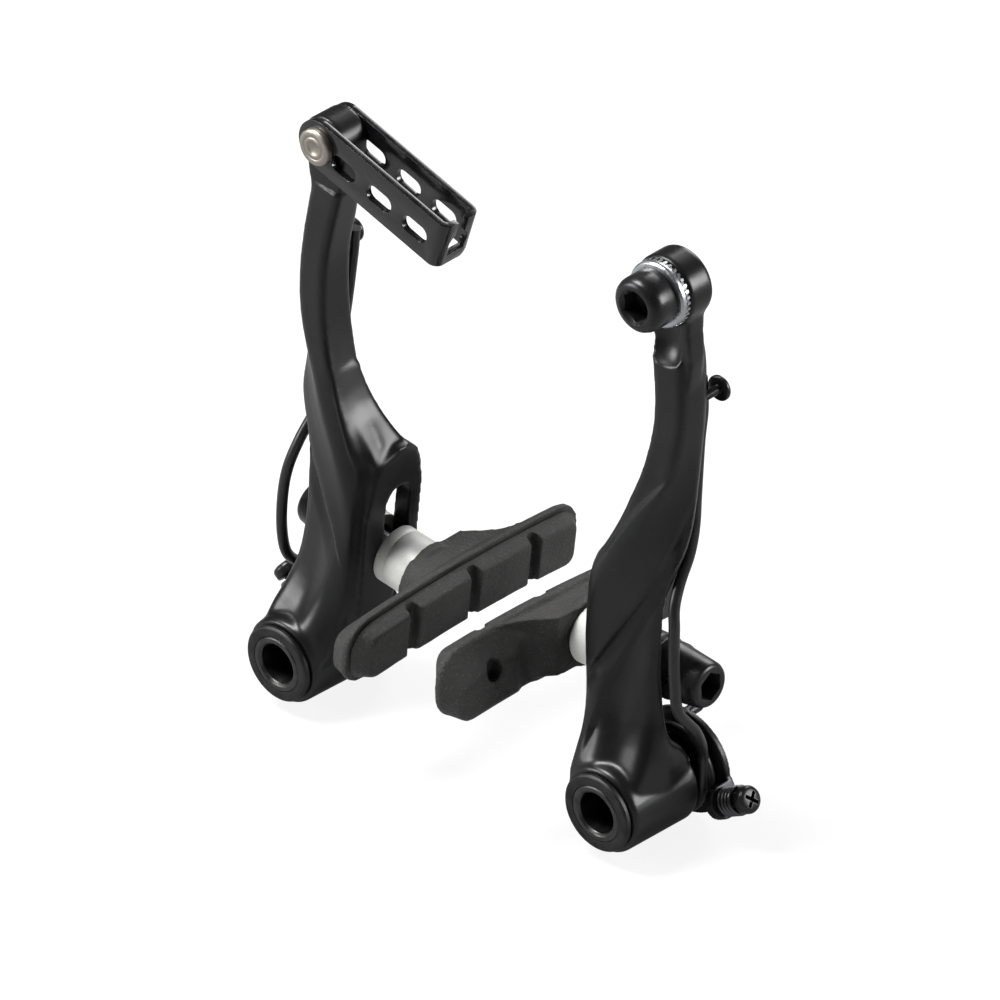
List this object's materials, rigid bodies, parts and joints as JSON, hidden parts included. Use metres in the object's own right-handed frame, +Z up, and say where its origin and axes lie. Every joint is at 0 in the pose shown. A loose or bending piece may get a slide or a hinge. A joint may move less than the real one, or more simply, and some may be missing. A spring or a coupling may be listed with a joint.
{
  "type": "linear-pull bicycle rim brake (v-brake)",
  "caption": "Linear-pull bicycle rim brake: two forged arms on pivot sleeves with return springs, threaded cartridge-style pads, a cable link and a cable clamp.",
  "frame": {"origin": "midway between the two pivots, in the plane where the sleeves seat on the bicycle's frame", "axes": "+X from the left arm to the right arm as seen from the front, +Y back towards the bicycle along the pivots, +Z up"},
  "size_m": [0.1191, 0.0662, 0.1238],
  "materials": {
    "arm_black": "satin",
    "sleeve_steel": "satin",
    "dark_steel": "satin",
    "spring_black": "satin",
    "small_spring_steel": "satin",
    "hardware_black": "satin",
    "link_black": "gloss",
    "rivet_silver": "satin",
    "clamp_zinc": "gloss",
    "spacer_grey": "matt",
    "stud_steel": "satin",
    "pad_rubber": "matt"
  },
  "bodies": {
    "frame_side": {"pivot_sleeve_left": "sleeve_steel", "pivot_sleeve_right": "sleeve_steel", "front_collar_left": "dark_steel", "front_collar_right": "dark_steel", "spring_plate_left": "dark_steel", "spring_plate_right": "dark_steel", "return_spring_left": "spring_black", "return_spring_right": "spring_black"},
    "left_arm": {"arm_left": "arm_black", "spring_pin_left": "hardware_black", "link_rivet": "rivet_silver"},
    "right_arm": {"arm_right": "arm_black", "spring_pin_right": "hardware_black"},
    "link": {"cable_link": "link_black"},
    "clamp_washer": {"cable_washer": "clamp_zinc"},
    "clamp_bolt": {"cable_bolt": "hardware_black"},
    "left_height": {"inner_dome_washer_left": "spacer_grey", "outer_dome_washer_left": "spacer_grey"},
    "left_tilt": {"pad_spacer_left": "spacer_grey", "cup_washer_left": "dark_steel", "flat_washer_left": "hardware_black"},
    "left_shoe": {"brake_pad_left": "pad_rubber", "pad_stud_left": "stud_steel", "pad_nut_left": "hardware_black"},
    "left_adjuster_travel": {"adjuster_spring_left": "small_spring_steel"},
    "left_adjuster": {"adjuster_screw_left": "hardware_black"},
    "right_height": {"inner_dome_washer_right": "spacer_grey", "outer_dome_washer_right": "spacer_grey"},
    "right_tilt": {"pad_spacer_right": "spacer_grey", "cup_washer_right": "dark_steel", "flat_washer_right": "hardware_black"},
    "right_shoe": {"brake_pad_right": "pad_rubber", "pad_stud_right": "stud_steel", "pad_nut_right": "hardware_black"},
    "right_adjuster_travel": {"adjuster_spring_right": "small_spring_steel"},
    "right_adjuster": {"adjuster_screw_right": "hardware_black"}
  },
  "joints": [
    {"name": "left_arm_pivot", "type": "hinge", "parent": "frame_side", "child": "left_arm", "pos_m": [-0.04, -0.0125, 0], "axis": [0, -1, 0], "range_deg": [-2.5, 31.5], "stiffness_Nm_per_rad": 2, "deforming": ["return_spring_left"]},
    {"name": "right_arm_pivot", "type": "hinge", "parent": "frame_side", "child": "right_arm", "pos_m": [0.04, -0.0125, 0], "axis": [0, 1, 0], "range_deg": [-12, 22], "stiffness_Nm_per_rad": 2, "deforming": ["return_spring_right"]},
    {"name": "link_swing", "type": "hinge", "parent": "left_arm", "child": "link", "pos_m": [-0.03278, -0.0091, 0.10677], "axis": [0, 1, 0], "range_deg": [-75, 18]},
    {"name": "clamp_travel", "type": "slide", "parent": "right_arm", "child": "clamp_washer", "axis": [0, -1, 0], "range_m": [0, 0.002]},
    {"name": "clamp_bolt_turn", "type": "hinge", "parent": "clamp_washer", "child": "clamp_bolt", "pos_m": [0.0505, -0.0156, 0.1065], "axis": [0, -1, 0], "range_deg": [0, 721]},
    {"name": "left_pad_height", "type": "slide", "parent": "left_arm", "child": "left_height", "axis": [0.165, 0, 0.9863], "range_m": [-0.002, 0.012]},
    {"name": "left_pad_toe", "type": "hinge", "parent": "left_height", "child": "left_tilt", "pos_m": [-0.02873, -0.0058, 0.02072], "axis": [0.165, 0, 0.9863], "range_deg": [-4, 4]},
    {"name": "left_pad_swivel", "type": "hinge", "parent": "left_tilt", "child": "left_shoe", "pos_m": [-0.02873, -0.0058, 0.02072], "axis": [-0.9863, 0, 0.165], "range_deg": [-15, 15]},
    {"name": "left_adjuster_slide", "type": "slide", "parent": "frame_side", "child": "left_adjuster_travel", "axis": [-0.766, 0, 0.6428], "range_m": [-0.00035, 0.0014], "deforming": ["adjuster_spring_left"]},
    {"name": "left_adjuster_turn", "type": "hinge", "parent": "left_adjuster_travel", "child": "left_adjuster", "pos_m": [-0.05184, -0.0039, -0.00035], "axis": [-0.766, 0, 0.6428], "range_deg": [-181, 721]},
    {"name": "right_pad_height", "type": "slide", "parent": "right_arm", "child": "right_height", "axis": [0, 0, 1], "range_m": [-0.002, 0.012]},
    {"name": "right_pad_toe", "type": "hinge", "parent": "right_height", "child": "right_tilt", "pos_m": [0.0323, -0.0058, 0.0223], "axis": [0, 0, 1], "range_deg": [-4, 4]},
    {"name": "right_pad_swivel", "type": "hinge", "parent": "right_tilt", "child": "right_shoe", "pos_m": [0.0323, -0.0058, 0.0223], "axis": [1, 0, 0], "range_deg": [-15, 15]},
    {"name": "right_adjuster_slide", "type": "slide", "parent": "frame_side", "child": "right_adjuster_travel", "axis": [0.8988, 0, 0.4384], "range_m": [-0.00035, 0.0014], "deforming": ["adjuster_spring_right"]},
    {"name": "right_adjuster_turn", "type": "hinge", "parent": "right_adjuster_travel", "child": "right_adjuster", "pos_m": [0.0514, -0.0039, -0.0032], "axis": [0.8988, 0, 0.4384], "range_deg": [-181, 721]}
  ],
  "couplings": [
    {"joint": "clamp_bolt_turn", "follows": "clamp_travel", "rad_per_m": 6283.2},
    {"joint": "left_adjuster_turn", "follows": "left_adjuster_slide", "rad_per_m": 8976},
    {"joint": "right_adjuster_turn", "follows": "right_adjuster_slide", "rad_per_m": 8976}
  ]
}
